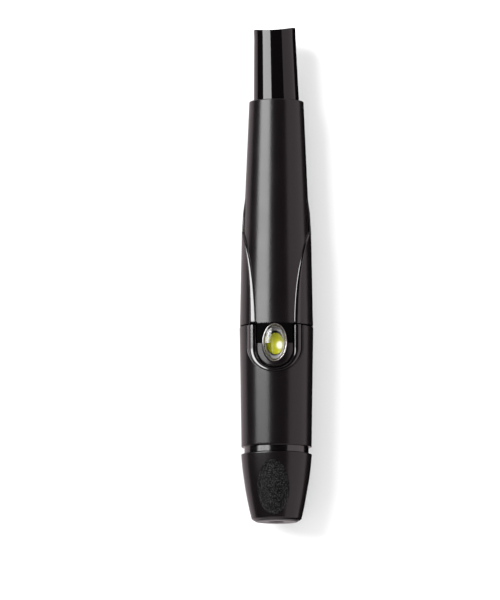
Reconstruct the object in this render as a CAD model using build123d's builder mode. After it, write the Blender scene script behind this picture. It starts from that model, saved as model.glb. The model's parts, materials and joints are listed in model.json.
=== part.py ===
"""Pen-type lancing device, primed and lying on its back.

The origin is the centre of the exit hole in the tip. The pen runs along +Y to its priming button, and the
release button faces +Z. Sizes are millimetres, and a station is a distance from the tip along the pen.
"""

import os

from build123d import *

os.makedirs("parts", exist_ok=True)

# Clearances
running_gap = 0.05
seat_gap = 0.02
end_gap = 0.1
tongue_gap = 0.12
seam_gap = 0.15

# Rotor and the walls round it, which set the barrel's radius at its seam
rotor_radius = 4.5
chassis_front_wall = 1.15
barrel_wall = 1.61

# Depth dial, whose radii are steps down from the barrel's seam and from the dial's own rim
dial_rim_step = 0.29
dial_front = 0.25
dial_lip = 1.8
dial_tip_step = 2.35
dial_shoulder_step = 2.09
dial_shoulder_rise = 0.35
dial_waist = 5.0
dial_waist_step = 1.12
dial_chest = 9.1
dial_chest_step = 0.46
dial_length = 13.25
pad_count = 3
pad_width = 6.4
pad_length = 10.8
pad_station = 6.5
pad_depth = 0.12
pad_turn = 3.5
setting_count = 11
setting_angle = 24.0
notch_radius = 0.26

# Contact ring and the collar that keys it
exit_radius = 1.5
ring_face_thickness = 1.2
ring_nose_step = 0.47
ring_skirt_step = 0.5
ring_wall = 0.6
ring_length = 8.2
depth_travel = 1.5
collar_wall = 0.45
collar_flange = 0.6
key_width = 1.2
key_length = 3.1
click_wire = 0.2
click_setback = 1.0

# Front barrel and its neck
barrel_front_step = 0.35
neck_step = 0.59
neck_stub_step = 0.92
neck_show = 1.45
neck_stub_length = 3.5
neck_wall = 0.6
front_barrel_length = 24.05
barrel_floor = 2.3
front_edge_round = 0.2
bead_offset = 0.3
bead_width = 0.95
bead_height = 0.2

# Rear barrel, its tongue and wings
rear_barrel_length = 45.5
rear_seam_step = 0.16
waist_step = 1.11
rear_end_wall = 0.82
rear_edge_round = 0.3
wing_seam_step = 0.04
wing_shoulder_step = 0.42
wing_crest_step = 0.68
wing_sink = 0.12
wing_web = 1.5
wing_shoulder = 19.2
wing_crest = 23.2
wing_length = 27.2
wing_gap_seam = 3.9
wing_gap_middle = 4.45
wing_gap_shoulder = 6.5
wing_gap_top = 6.05
tongue_sink = 0.14
tongue_half_width = 3.6
tongue_length = 3.7
surround_length = 4.7

# Release button
button_length = 7.6
button_width = 4.9
button_hole_gap = 0.1
rim_width = 0.45
button_travel = 0.6
rim_proud = 0.12
dome_height = 0.65
frame_thickness = 0.6
frame_window_length = 5.2
frame_tab_length = 1.5
frame_tab_width = 2.2
nub_length = 1.3

# Chassis tube
chassis_setback = 2.8
chassis_wall = 0.65
chassis_step = 11.4
bush_length = 1.2

# Lancet holder, carriage and ejector
holder_setback = 0.8
holder_wall = 1.32
socket_radius = 2.6
socket_length = 5.5
socket_relief = 0.2
finger_slot = 1.4
holder_end_wall = 1.2
guide_rib_width = 1.2
guide_rib_height = 0.45
guide_rib_length = 4.0
blade_room = 2.2
collet_groove_depth = 0.4
collet_ring_length = 0.7
collet_setback = 0.3
rod_radius = 1.5
rod_length = 31.5
rod_spigot_radius = 1.0
clip_radius = 2.35
clip_thickness = 0.6
clip_setback = 0.9
stroke = 5.0
bar_thickness = 1.0
bar_gap = 0.2
pusher_radius = 2.2
bar_pocket = 0.45

# Drive rotor, its cam and its latch
rotor_lead = 3.9
rotor_length = 17.0
rotor_turn = 170.0
cam_width = 1.4
cam_depth = 1.5
cam_margin = 1.0
cam_setback = 3.2
follower_radius = 0.6
latch_bore_wall = 0.7
latch_bore_depth = 1.3
hub_radius = 2.9
hub_length = 3.0
indicator_width = 3.9
indicator_length = 4.4
indicator_thickness = 0.3
retainer_width = 0.35
retainer_length = 0.9
blade_thickness = 0.25
blade_width = 2.2
blade_length = 9.8
blade_foot = 1.1
blade_engagement = 0.7
drive_wire = 0.5
drive_turns = 4
return_wire = 0.35
return_turns = 4

# Priming button, sleeve and tension rotor
plunger_show = 14.9
plunger_radius = 4.54
plunger_top_radius = 4.18
plunger_lean = 0.36
plunger_edge_round = 0.4
scoop_depth = 0.65
scoop_radius = 13.8
scoop_shift = 0.35
plunger_gap = 0.08
plunger_wall = 0.6
mouth_length = 5.7
flange_thickness = 1.0
flange_width = 0.38
priming_travel = 9.0
sleeve_bore_radius = 2.55
sleeve_wall = 0.5
sleeve_socket_depth = 3.0
plunger_end_wall = 1.6
spiral_lead = 36.0
spiral_slot = 1.2
nub_radius = 0.5
tension_rotor_length = 3.6
priming_wire = 0.45
priming_turns = 4

# Stations
dial_rear = dial_front + dial_length
barrel_front = dial_rear + neck_show
seam = barrel_front + front_barrel_length
rear_start = seam + seam_gap
barrel_rear = seam + rear_barrel_length
plunger_top = barrel_rear + plunger_show
neck_shoulder = dial_rear + end_gap
stub_front = neck_shoulder - neck_stub_length
collar_front = stub_front - end_gap - collar_flange
nose_end = dial_front + dial_lip
surround_rear = seam - tongue_length
surround_front = surround_rear - surround_length
button_centre = surround_rear
rotor_front = button_centre - rotor_lead
rotor_rear = rotor_front + rotor_length
retainer_rear = rotor_rear + end_gap + retainer_length
chassis_front = barrel_front + chassis_setback
chassis_shoulder = seam + chassis_step
holder_front = barrel_front + holder_setback
holder_rear = rotor_front - blade_room
socket_end = holder_rear - holder_end_wall
bar_front = holder_front + socket_length + bar_gap
bar_rear = bar_front + bar_thickness
mouth_shoulder = barrel_rear - mouth_length
flange_rear = mouth_shoulder - running_gap
flange_front = flange_rear - flange_thickness
chassis_rear = flange_front - priming_travel - end_gap
bush_front = chassis_rear - bush_length
tension_rear = bush_front - end_gap
tension_front = tension_rear - tension_rotor_length
rod_rear = holder_rear + rod_length
clip_front = rod_rear - clip_setback - clip_thickness
hub_rear = rotor_rear + hub_length
spring_seat = barrel_rear
sleeve_rear = spring_seat + sleeve_socket_depth

# Radii
chassis_bore = rotor_radius + running_gap
chassis_front_radius = chassis_bore + chassis_front_wall
chassis_rear_radius = chassis_bore + chassis_wall
latch_bore_radius = rotor_radius - latch_bore_wall
barrel_bore = chassis_front_radius + running_gap
barrel_seam_radius = barrel_bore + barrel_wall
barrel_front_radius = barrel_seam_radius - barrel_front_step
rear_seam_radius = barrel_seam_radius - rear_seam_step
waist_radius = barrel_seam_radius - waist_step
wing_seam_radius = barrel_seam_radius - wing_seam_step
wing_shoulder_radius = barrel_seam_radius - wing_shoulder_step
wing_crest_radius = barrel_seam_radius - wing_crest_step
dial_rim_radius = barrel_seam_radius - dial_rim_step
back_flat_depth = dial_rim_radius
dial_tip_radius = dial_rim_radius - dial_tip_step
ring_nose_radius = dial_tip_radius - ring_nose_step
ring_skirt_radius = ring_nose_radius + ring_skirt_step
neck_radius = barrel_front_radius - neck_step
neck_stub_radius = neck_radius - neck_stub_step
holder_radius = socket_radius + holder_wall
holder_bore = holder_radius + running_gap
neck_bore = neck_stub_radius - neck_wall
collar_bore = neck_stub_radius + running_gap
collar_radius = collar_bore + collar_wall
dial_bore = collar_radius + running_gap
flange_radius = plunger_radius + flange_width
mouth_radius = plunger_radius + plunger_gap
rear_end_radius = mouth_radius + rear_end_wall
sleeve_radius = sleeve_bore_radius + sleeve_wall
tension_bore = sleeve_radius + running_gap
plunger_bore = plunger_radius - plunger_wall
cam_radius = rod_radius + cam_depth / 2
drive_coil_radius = (sleeve_radius + chassis_bore) / 2
return_coil_radius = rod_radius + running_gap + return_wire
priming_coil_radius = (sleeve_radius + plunger_bore) / 2
blade_bottom = holder_bore + end_gap
blade_top = blade_bottom + blade_thickness
frame_bottom = rotor_radius + button_travel + end_gap / 2
frame_top = frame_bottom + frame_thickness


def across(station):
    """The plane across the pen at a station, with its x along +X and its y along +Z."""
    return Plane(origin=(0, station, 0), x_dir=(1, 0, 0), z_dir=(0, -1, 0))


def turned(inner, outer, low, high, mode=Mode.ADD):
    """A ring or, with no inner radius, a disc, turned about the pen's axis between two stations."""
    with BuildSketch(Plane.XY) as profile:
        with Locations(((inner + outer) / 2, (low + high) / 2)):
            Rectangle(outer - inner, high - low)
    revolve(profile.sketch, axis=Axis.Y, mode=mode)


def block(width, low, high, bottom, top, mode=Mode.ADD):
    """A box centred on the pen's middle plane, between two stations and two heights."""
    with BuildSketch(Plane.XY.offset(bottom)) as outline:
        with Locations((0, (low + high) / 2)):
            Rectangle(width, high - low)
    extrude(outline.sketch, amount=top - bottom, mode=mode)


def cones(*rings, mode=Mode.ADD):
    """A solid of straight-sided bands, turned through rings that are each given as radius and station."""
    with BuildSketch(Plane.XY) as profile:
        with BuildLine():
            Polyline((0, rings[0][1]), *rings, (0, rings[-1][1]), close=True)
        make_face()
    revolve(profile.sketch, axis=Axis.Y, mode=mode)


def rest_flat(mode=Mode.SUBTRACT):
    """What the shallow flat takes off the back, so that the pen lies without rolling."""
    block(2 * barrel_seam_radius, barrel_front, barrel_rear, -2 * barrel_seam_radius, -back_flat_depth, mode)


def oval_prism(width, length, bottom, top, mode=Mode.ADD):
    """An upright oval over the release button's centre."""
    with BuildSketch(Plane.XY.offset(bottom)) as outline:
        with Locations((0, button_centre)):
            Ellipse(width / 2, length / 2)
    extrude(outline.sketch, amount=top - bottom, mode=mode)


def u_prism(half_width, front, rear, height, mode=Mode.ADD):
    """An upright U shape: straight sides from the rear, with a round end at the front."""
    with BuildSketch(Plane.XY) as outline:
        with BuildLine():
            corner = front + half_width
            Polyline((-half_width, corner), (-half_width, rear), (half_width, rear), (half_width, corner))
            ThreePointArc((half_width, corner), (0, front), (-half_width, corner))
        make_face()
    extrude(outline.sketch, amount=height, mode=mode)


def outward(path, share=0):
    """The direction from the pen's axis to a point of a spiral path."""
    point = path @ share
    return Vector(point.X, 0, point.Z).normalized()


def spiral(path, depth, width, mode=Mode.ADD):
    """A rectangle, deep along the radius and wide along the pen, swept along a spiral path."""
    with BuildSketch(Plane(origin=path @ 0, x_dir=outward(path), z_dir=path % 0)) as section:
        Rectangle(depth, width)
    sweep(section.sketch, path=path, is_frenet=True, mode=mode)


def radial_pin(direction, station, radius, inner, outer, mode=Mode.ADD):
    """A round pin that points away from the pen's axis."""
    foot = Vector(0, station, 0) + direction * inner
    with BuildSketch(Plane(origin=foot, z_dir=direction)) as section:
        Circle(radius)
    extrude(section.sketch, amount=outer - inner, mode=mode)


# Depth dial: a cone with a convex side, rough oval finger pads and click notches inside
dial_side = (
    (dial_rim_radius - dial_shoulder_step, dial_front + dial_shoulder_rise),
    (dial_rim_radius - dial_waist_step, dial_waist),
    (dial_rim_radius - dial_chest_step, dial_chest),
    (dial_rim_radius, dial_rear),
)
with BuildPart() as pad_recess:
    with BuildSketch(Plane.XY) as pad_outline:
        with Locations((0, pad_station)):
            Ellipse(pad_width / 2, pad_length / 2)
    extrude(amount=dial_rim_radius)
    cones(*((radius - pad_depth, station) for radius, station in dial_side), mode=Mode.SUBTRACT)

with BuildPart() as depth_dial:
    cones((dial_tip_radius, dial_front), *dial_side)
    for pad in range(pad_count):
        add(pad_recess.part.rotate(Axis.Y, -pad_turn + pad * 360 / pad_count), mode=Mode.SUBTRACT)
    turned(0, ring_nose_radius + end_gap, dial_front, nose_end, mode=Mode.SUBTRACT)
    turned(0, ring_skirt_radius + running_gap, nose_end, collar_front, mode=Mode.SUBTRACT)
    turned(0, dial_bore, collar_front - end_gap, dial_rear, mode=Mode.SUBTRACT)
    with BuildSketch(across(dial_rear)) as notches:
        for setting in range(setting_count):
            turn = (setting - setting_count // 2) * setting_angle
            with Locations(Rot(Z=turn) * Pos(0, dial_bore)):
                Circle(notch_radius)
    extrude(amount=2 * click_setback, mode=Mode.SUBTRACT)

# Contact ring: the face that rests on the skin, with its exit hole and a slotted skirt
key_slot_front = collar_front - key_length - depth_travel / 2 - end_gap
with BuildPart() as contact_ring:
    turned(exit_radius, ring_nose_radius, 0, nose_end + depth_travel / 2 + end_gap)
    turned(0, ring_skirt_radius, nose_end + depth_travel / 2 + end_gap, ring_length)
    turned(0, ring_skirt_radius - 2 * ring_wall, ring_face_thickness, ring_length, mode=Mode.SUBTRACT)
    block(
        2 * ring_skirt_radius + end_gap, key_slot_front, ring_length,
        -key_width / 2 - running_gap, key_width / 2 + running_gap, mode=Mode.SUBTRACT,
    )

# Cap collar: plugs on the neck, carries the dial and keys the contact ring with two tabs
key_inner = ring_skirt_radius - ring_wall
with BuildPart() as cap_collar:
    turned(key_inner, collar_radius, collar_front, collar_front + collar_flange)
    turned(collar_bore, collar_radius, collar_front, dial_rear)
    turned(
        collar_radius - click_wire - running_gap, collar_radius,
        dial_rear - click_setback - 2 * click_wire, dial_rear - click_setback, mode=Mode.SUBTRACT,
    )
    for side in (-1, 1):
        middle = side * (key_inner + ring_skirt_radius) / 2
        with BuildSketch(across(collar_front)) as key:
            with Locations((middle, 0)):
                Rectangle(ring_skirt_radius - key_inner, key_width)
        extrude(amount=key_length)

# Click ring: a wire ring in the collar's groove, with a bump that drops into the dial's notches
click_rear = dial_rear - click_setback - running_gap
with BuildPart() as click_ring:
    turned(collar_radius - click_wire, collar_radius, click_rear - click_wire, click_rear)
    with BuildSketch(across(click_rear)) as bump:
        with Locations((0, collar_radius)):
            Circle(notch_radius - running_gap)
        Circle(collar_radius - click_wire / 2, mode=Mode.SUBTRACT)
    extrude(amount=click_wire)

# Front barrel: the sliding ejector sleeve, with its neck and the beaded U-shaped cut-out
u_front = surround_front - tongue_gap
u_half_width = tongue_half_width + tongue_gap
bead_outer = bead_offset + bead_width
with BuildPart() as bead:
    cones((barrel_front_radius + bead_height, barrel_front), (barrel_seam_radius + bead_height, seam))
    u_prism(u_half_width + bead_outer, u_front - bead_outer, seam, 2 * barrel_seam_radius, mode=Mode.INTERSECT)
    u_prism(
        u_half_width + bead_offset, u_front - bead_offset, seam, 2 * barrel_seam_radius, mode=Mode.SUBTRACT
    )
    turned(0, barrel_bore, barrel_front, seam, mode=Mode.SUBTRACT)

with BuildPart() as front_barrel:
    cones(
        (barrel_front_radius - front_edge_round, barrel_front),
        (barrel_front_radius, barrel_front + front_edge_round),
        (barrel_seam_radius, seam),
    )
    rest_flat()
    add(bead.part)
    turned(0, neck_radius, neck_shoulder, barrel_front + front_edge_round)
    turned(0, neck_stub_radius, stub_front, neck_shoulder)
    turned(0, neck_bore, stub_front, seam, mode=Mode.SUBTRACT)
    turned(0, barrel_bore, barrel_front + barrel_floor, seam, mode=Mode.SUBTRACT)
    u_prism(u_half_width, u_front, seam, 2 * barrel_seam_radius, mode=Mode.SUBTRACT)
    block(
        2 * (barrel_bore + bar_pocket), bar_front, bar_rear, -bar_thickness / 2, bar_thickness / 2,
        mode=Mode.SUBTRACT,
    )

# Ejector bar: crosses the holder's slots and pushes the lancet out
with BuildPart() as ejector_bar:
    turned(0, pusher_radius, bar_front, bar_rear)
    block(
        2 * (barrel_bore + bar_pocket), bar_front, bar_rear, -bar_thickness / 2, bar_thickness / 2
    )

# Rear barrel: a tapered shell with two side wings and a tongue over the front barrel's cut-out
tongue_rings = (
    (barrel_front_radius - tongue_sink, barrel_front),
    (barrel_seam_radius - tongue_sink, seam),
    (rear_seam_radius, rear_start),
)
wing_edge = (
    (wing_gap_seam, rear_start),
    (wing_gap_middle, seam + wing_shoulder / 2),
    (wing_gap_shoulder, seam + wing_shoulder),
    (wing_gap_top, seam + wing_length),
)
with BuildPart() as between_wings:
    with BuildSketch(Plane.XY.offset(wing_web)):
        with BuildLine():
            ThreePointArc(*wing_edge[:3])
            Line(*wing_edge[2:])
            mirror(about=Plane.YZ)
            Line(wing_edge[3], (-wing_gap_top, seam + wing_length))
            Line(wing_edge[0], (-wing_gap_seam, rear_start))
        make_face()
    extrude(amount=wing_seam_radius)
    mirror(about=Plane.XY)

with BuildPart() as wings:
    cones(
        (wing_seam_radius, rear_start),
        (wing_shoulder_radius, seam + wing_shoulder),
        (wing_crest_radius, seam + wing_crest),
        (waist_radius - wing_sink, seam + wing_length),
    )
    add(between_wings.part, mode=Mode.SUBTRACT)

with BuildPart() as tongue:
    cones(*tongue_rings)
    block(2 * tongue_half_width, surround_rear, rear_start, 0, 2 * barrel_seam_radius, mode=Mode.INTERSECT)

with BuildPart() as rear_barrel:
    cones(
        (rear_seam_radius, rear_start),
        (waist_radius, seam + wing_length),
        (rear_end_radius, barrel_rear - rear_edge_round),
        (rear_end_radius - rear_edge_round, barrel_rear),
    )
    add(wings.part)
    rest_flat()
    add(tongue.part)
    turned(0, chassis_front_radius + running_gap, surround_rear, chassis_shoulder, mode=Mode.SUBTRACT)
    turned(0, chassis_rear_radius + seat_gap, chassis_shoulder, chassis_rear, mode=Mode.SUBTRACT)
    turned(0, flange_radius + running_gap, chassis_rear, mouth_shoulder, mode=Mode.SUBTRACT)
    turned(0, mouth_radius, mouth_shoulder, barrel_rear, mode=Mode.SUBTRACT)
    oval_prism(
        button_width + 2 * button_hole_gap, button_length + 2 * button_hole_gap, 0, 2 * barrel_seam_radius,
        mode=Mode.SUBTRACT,
    )

# Button surround: the U-shaped piece that closes the cut-out below the tongue
with BuildPart() as button_surround:
    cones(*tongue_rings)
    u_prism(tongue_half_width, surround_front, surround_rear, 2 * barrel_seam_radius, mode=Mode.INTERSECT)
    turned(0, barrel_bore, barrel_front, seam, mode=Mode.SUBTRACT)
    oval_prism(
        button_width + 2 * button_hole_gap, button_length + 2 * button_hole_gap, 0, 2 * barrel_seam_radius,
        mode=Mode.SUBTRACT,
    )

# Release button: a clear dome in a bright rim, on a frame whose nub presses the latch blade
rim_top = barrel_seam_radius + rim_proud
lens_width = button_width - 2 * rim_width
lens_length = button_length - 2 * rim_width
with BuildPart() as button_rim:
    oval_prism(button_width, button_length, frame_top, rim_top)
    oval_prism(lens_width, lens_length, frame_top, rim_top, mode=Mode.SUBTRACT)

with BuildPart() as release_button:
    oval_prism(lens_width - 2 * seat_gap, lens_length - 2 * seat_gap, frame_top, rim_top + dome_height)
    dome_rim = release_button.faces().sort_by(Axis.Z)[-1].edges()
    chamfer(dome_rim, dome_height)

with BuildPart() as button_frame:
    oval_prism(button_width, button_length, frame_bottom, frame_top)
    oval_prism(lens_width - end_gap, frame_window_length, frame_bottom, frame_top, mode=Mode.SUBTRACT)
    nub_rear = rotor_front - end_gap
    tab_top = frame_top - 2 * end_gap
    block(
        frame_tab_width, nub_rear - nub_length, button_centre - frame_window_length / 2 - rim_width,
        frame_bottom, tab_top,
    )
    block(
        frame_tab_width, button_centre + frame_window_length / 2 + rim_width,
        button_centre + button_length / 2 + frame_tab_length, frame_bottom, tab_top,
    )
    block(frame_tab_width, nub_rear - nub_length, nub_rear, blade_top + running_gap, tab_top)

# Chassis tube: everything inside runs in it
blade_front = rotor_front + blade_engagement - blade_length
with BuildPart() as chassis_tube:
    turned(0, chassis_front_radius, chassis_front, chassis_shoulder)
    turned(0, chassis_rear_radius, chassis_shoulder, chassis_rear)
    turned(0, holder_bore, chassis_front, rotor_front - end_gap, mode=Mode.SUBTRACT)
    turned(0, chassis_bore, rotor_front - end_gap, chassis_rear, mode=Mode.SUBTRACT)
    block(
        2 * chassis_front_radius, chassis_front, bar_rear + end_gap,
        -bar_thickness / 2 - running_gap, bar_thickness / 2 + running_gap, mode=Mode.SUBTRACT,
    )
    block(
        button_width + 2 * button_hole_gap, rotor_front - end_gap,
        button_centre + button_length / 2 + button_hole_gap, 0, chassis_front_radius, mode=Mode.SUBTRACT,
    )
    block(
        frame_tab_width + 4 * running_gap, blade_front,
        button_centre + button_length / 2 + frame_tab_length + end_gap, 0, chassis_front_radius,
        mode=Mode.SUBTRACT,
    )
    block(
        guide_rib_width + 2 * running_gap, holder_rear - guide_rib_length - stroke - end_gap,
        rotor_front - end_gap, -holder_bore - guide_rib_height, 0, mode=Mode.SUBTRACT,
    )

# Latch blade: a spring strip with an upturned foot, whose tip sits in the rotor's notch
with BuildPart() as latch_blade:
    block(blade_width, blade_front, blade_front + blade_length, blade_bottom, blade_top)
    block(blade_width, blade_front, blade_front + blade_thickness, blade_bottom, blade_top + blade_foot)

# Lancet holder: two spring fingers with a socket for the lancet, and a rib that stops it turning
with BuildPart() as lancet_holder:
    turned(0, holder_radius, holder_front, holder_rear)
    block(
        guide_rib_width, holder_rear - guide_rib_length, holder_rear,
        -holder_radius - guide_rib_height + running_gap, -socket_radius,
    )
    turned(0, socket_radius, holder_front, holder_front + socket_length, mode=Mode.SUBTRACT)
    turned(0, socket_radius + socket_relief, holder_front + socket_length, socket_end, mode=Mode.SUBTRACT)
    turned(0, rod_spigot_radius, socket_end, holder_rear, mode=Mode.SUBTRACT)
    block(
        2 * holder_radius, holder_front, socket_end, -finger_slot / 2, finger_slot / 2,
        mode=Mode.SUBTRACT,
    )
    collet_front = holder_front + collet_setback
    turned(
        holder_radius - collet_groove_depth, holder_radius, collet_front,
        collet_front + collet_ring_length, mode=Mode.SUBTRACT,
    )

# Collet ring: a split spring ring round the fingers
with BuildPart() as collet_ring:
    turned(
        holder_radius - collet_groove_depth + seat_gap, holder_radius, collet_front + seat_gap,
        collet_front + collet_ring_length - seat_gap,
    )
    block(
        finger_slot, collet_front, collet_front + collet_ring_length, 0, holder_radius,
        mode=Mode.SUBTRACT,
    )

# Cam path: one turn of it is one lead, and the follower rides it from its rear end
cam_lead = stroke * 360 / rotor_turn
cam_height = stroke + 2 * cam_margin
cam_front = rotor_front + cam_setback
cam_path = Helix(cam_lead, cam_height, cam_radius, center=(0, cam_front, 0), direction=(0, 1, 0))
follower_station = cam_front + cam_height - cam_margin
follower_way = outward(cam_path, (cam_height - cam_margin) / cam_height)

# Carriage rod, its follower pin and its end clip
with BuildPart() as carriage_rod:
    turned(0, rod_radius, holder_rear, rod_rear)
    turned(0, rod_spigot_radius - seat_gap, socket_end, holder_rear)
    turned(rod_radius - seat_gap - click_wire, rod_radius, clip_front - seat_gap,
           clip_front + clip_thickness + seat_gap, mode=Mode.SUBTRACT)
    radial_pin(follower_way, follower_station, follower_radius + seat_gap, 0, 2 * rod_radius,
               mode=Mode.SUBTRACT)

with BuildPart() as follower_pin:
    radial_pin(follower_way, follower_station, follower_radius, 0, rod_radius + cam_depth - running_gap)

with BuildPart() as rod_clip:
    turned(rod_radius - click_wire, clip_radius, clip_front, clip_front + clip_thickness)
    block(
        rod_radius, clip_front, clip_front + clip_thickness, 0, clip_radius, mode=Mode.SUBTRACT
    )

# Indicator: the bright mark let into the rotor, under the clear button while the pen is primed
with BuildPart() as indicator:
    turned(rotor_radius - indicator_thickness, rotor_radius, rotor_front, rotor_rear)
    with BuildSketch(Plane.XY) as mark:
        with Locations((0, button_centre)):
            Ellipse(indicator_width / 2, indicator_length / 2)
    extrude(mark.sketch, amount=rotor_radius, mode=Mode.INTERSECT)

# Drive rotor: the cam groove inside, the latch notch in front and the spring's hub behind
with BuildPart() as drive_rotor:
    turned(0, rotor_radius, rotor_front, rotor_rear)
    turned(0, hub_radius, rotor_rear, hub_rear)
    turned(0, rod_radius + running_gap, rotor_front, hub_rear, mode=Mode.SUBTRACT)
    turned(0, latch_bore_radius, rotor_front, rotor_front + latch_bore_depth, mode=Mode.SUBTRACT)
    block(
        blade_width + 2 * end_gap, rotor_front, rotor_front + latch_bore_depth, 0, rotor_radius,
        mode=Mode.SUBTRACT,
    )
    spiral(cam_path, cam_depth, cam_width, mode=Mode.SUBTRACT)
    add(indicator.part, mode=Mode.SUBTRACT)

# Rotor retainer: the ring behind the rotor, fixed in the chassis
with BuildPart() as rotor_retainer:
    turned(
        chassis_bore - seat_gap - retainer_width, chassis_bore - seat_gap, rotor_rear + end_gap,
        retainer_rear,
    )

# Springs: the drive spring twists, the other two are pushed together
drive_low = rotor_rear + drive_wire
drive_high = tension_front - drive_wire
drive_path = Helix(
    (drive_high - drive_low) / drive_turns, drive_high - drive_low, drive_coil_radius,
    center=(0, drive_low, 0), direction=(0, 1, 0),
)
with BuildPart() as drive_spring:
    spiral(drive_path, drive_wire, drive_wire)

return_low = hub_rear + return_wire
return_high = clip_front - return_wire
return_path = Helix(
    (return_high - return_low) / return_turns, return_high - return_low, return_coil_radius,
    center=(0, return_low, 0), direction=(0, 1, 0),
)
with BuildPart() as return_spring:
    spiral(return_path, return_wire, return_wire)

# Priming sleeve and tension rotor: the sleeve's spiral slots turn the rotor by its two nubs
sleeve_front = tension_front - end_gap
slot_front = tension_front + tension_rotor_length / 2 - spiral_slot
slot_path = Helix(
    spiral_lead, priming_travel + 2 * spiral_slot, sleeve_bore_radius + sleeve_wall / 2,
    center=(0, slot_front, 0), direction=(0, 1, 0),
)
nub_way = outward(slot_path, spiral_slot / (priming_travel + 2 * spiral_slot))
nub_station = slot_front + spiral_slot
with BuildPart() as slot_cut:
    spiral(slot_path, 2 * sleeve_wall, spiral_slot)

with BuildPart() as priming_sleeve:
    turned(sleeve_bore_radius, sleeve_radius, sleeve_front, sleeve_rear)
    add(slot_cut.part, mode=Mode.SUBTRACT)
    add(slot_cut.part.rotate(Axis.Y, 180), mode=Mode.SUBTRACT)

with BuildPart() as tension_rotor:
    for way in (nub_way, -nub_way):
        radial_pin(way, nub_station, nub_radius, sleeve_bore_radius + running_gap, rotor_radius)
    turned(tension_bore, rotor_radius, tension_front, tension_rear)

# Rear bush: closes the chassis and carries the sleeve
with BuildPart() as rear_bush:
    turned(tension_bore, chassis_bore - seat_gap, bush_front, chassis_rear)

# Priming button: the plunger, with a leaning, scooped crown and a flange that stops at the barrel's mouth
crown_plane = Plane(origin=(0, barrel_rear, 0), x_dir=(plunger_show, plunger_lean, 0), z_dir=(0, 0, 1))
with BuildPart() as priming_button:
    turned(0, plunger_radius, flange_front, barrel_rear + plunger_edge_round)
    turned(0, flange_radius, flange_front, flange_rear)
    with BuildSketch(crown_plane) as crown:
        with BuildLine():
            Polyline(
                (0, 0),
                (plunger_radius, 0),
                (plunger_top_radius, plunger_show - plunger_edge_round),
                (plunger_top_radius - plunger_edge_round, plunger_show),
                (0, plunger_show),
                close=True,
            )
        make_face()
    revolve(crown.sketch, axis=Axis(crown_plane.origin, crown_plane.y_dir))
    with BuildSketch(Plane.XY) as scoop:
        with Locations((-plunger_lean - scoop_shift, plunger_top - scoop_depth + scoop_radius)):
            Circle(scoop_radius)
    extrude(scoop.sketch, amount=2 * plunger_radius, both=True, mode=Mode.SUBTRACT)
    turned(0, plunger_bore, flange_front, spring_seat, mode=Mode.SUBTRACT)
    turned(0, sleeve_radius + seat_gap, spring_seat, sleeve_rear, mode=Mode.SUBTRACT)
    turned(0, sleeve_bore_radius, sleeve_rear, plunger_top - plunger_end_wall, mode=Mode.SUBTRACT)

priming_low = chassis_rear + priming_wire
priming_high = spring_seat - priming_wire
priming_path = Helix(
    (priming_high - priming_low) / priming_turns, priming_high - priming_low, priming_coil_radius,
    center=(0, priming_low, 0), direction=(0, 1, 0),
)
with BuildPart() as priming_spring:
    spiral(priming_path, priming_wire, priming_wire)

pieces = {
    "depth_dial": depth_dial,
    "contact_ring": contact_ring,
    "cap_collar": cap_collar,
    "click_ring": click_ring,
    "front_barrel": front_barrel,
    "ejector_bar": ejector_bar,
    "rear_barrel": rear_barrel,
    "button_surround": button_surround,
    "release_button": release_button,
    "button_rim": button_rim,
    "button_frame": button_frame,
    "chassis_tube": chassis_tube,
    "latch_blade": latch_blade,
    "lancet_holder": lancet_holder,
    "collet_ring": collet_ring,
    "carriage_rod": carriage_rod,
    "follower_pin": follower_pin,
    "rod_clip": rod_clip,
    "return_spring": return_spring,
    "drive_rotor": drive_rotor,
    "indicator": indicator,
    "rotor_retainer": rotor_retainer,
    "drive_spring": drive_spring,
    "tension_rotor": tension_rotor,
    "priming_sleeve": priming_sleeve,
    "rear_bush": rear_bush,
    "priming_spring": priming_spring,
    "priming_button": priming_button,
}
for name, piece in pieces.items():
    piece.part.label = name
    export_step(piece.part, f"parts/{name}.step")
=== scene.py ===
"""Looks of the lancing device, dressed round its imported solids.

Lengths in this file are millimetres, as in the part's source, and points become metres when a mesh is made.
The studio and the camera are in metres.
The pen lies along +Y with its exit hole at the origin and its release button facing +Z.
"""

import json
import math

import bmesh
import bpy
import numpy as np
from mathutils import Matrix, Vector


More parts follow.
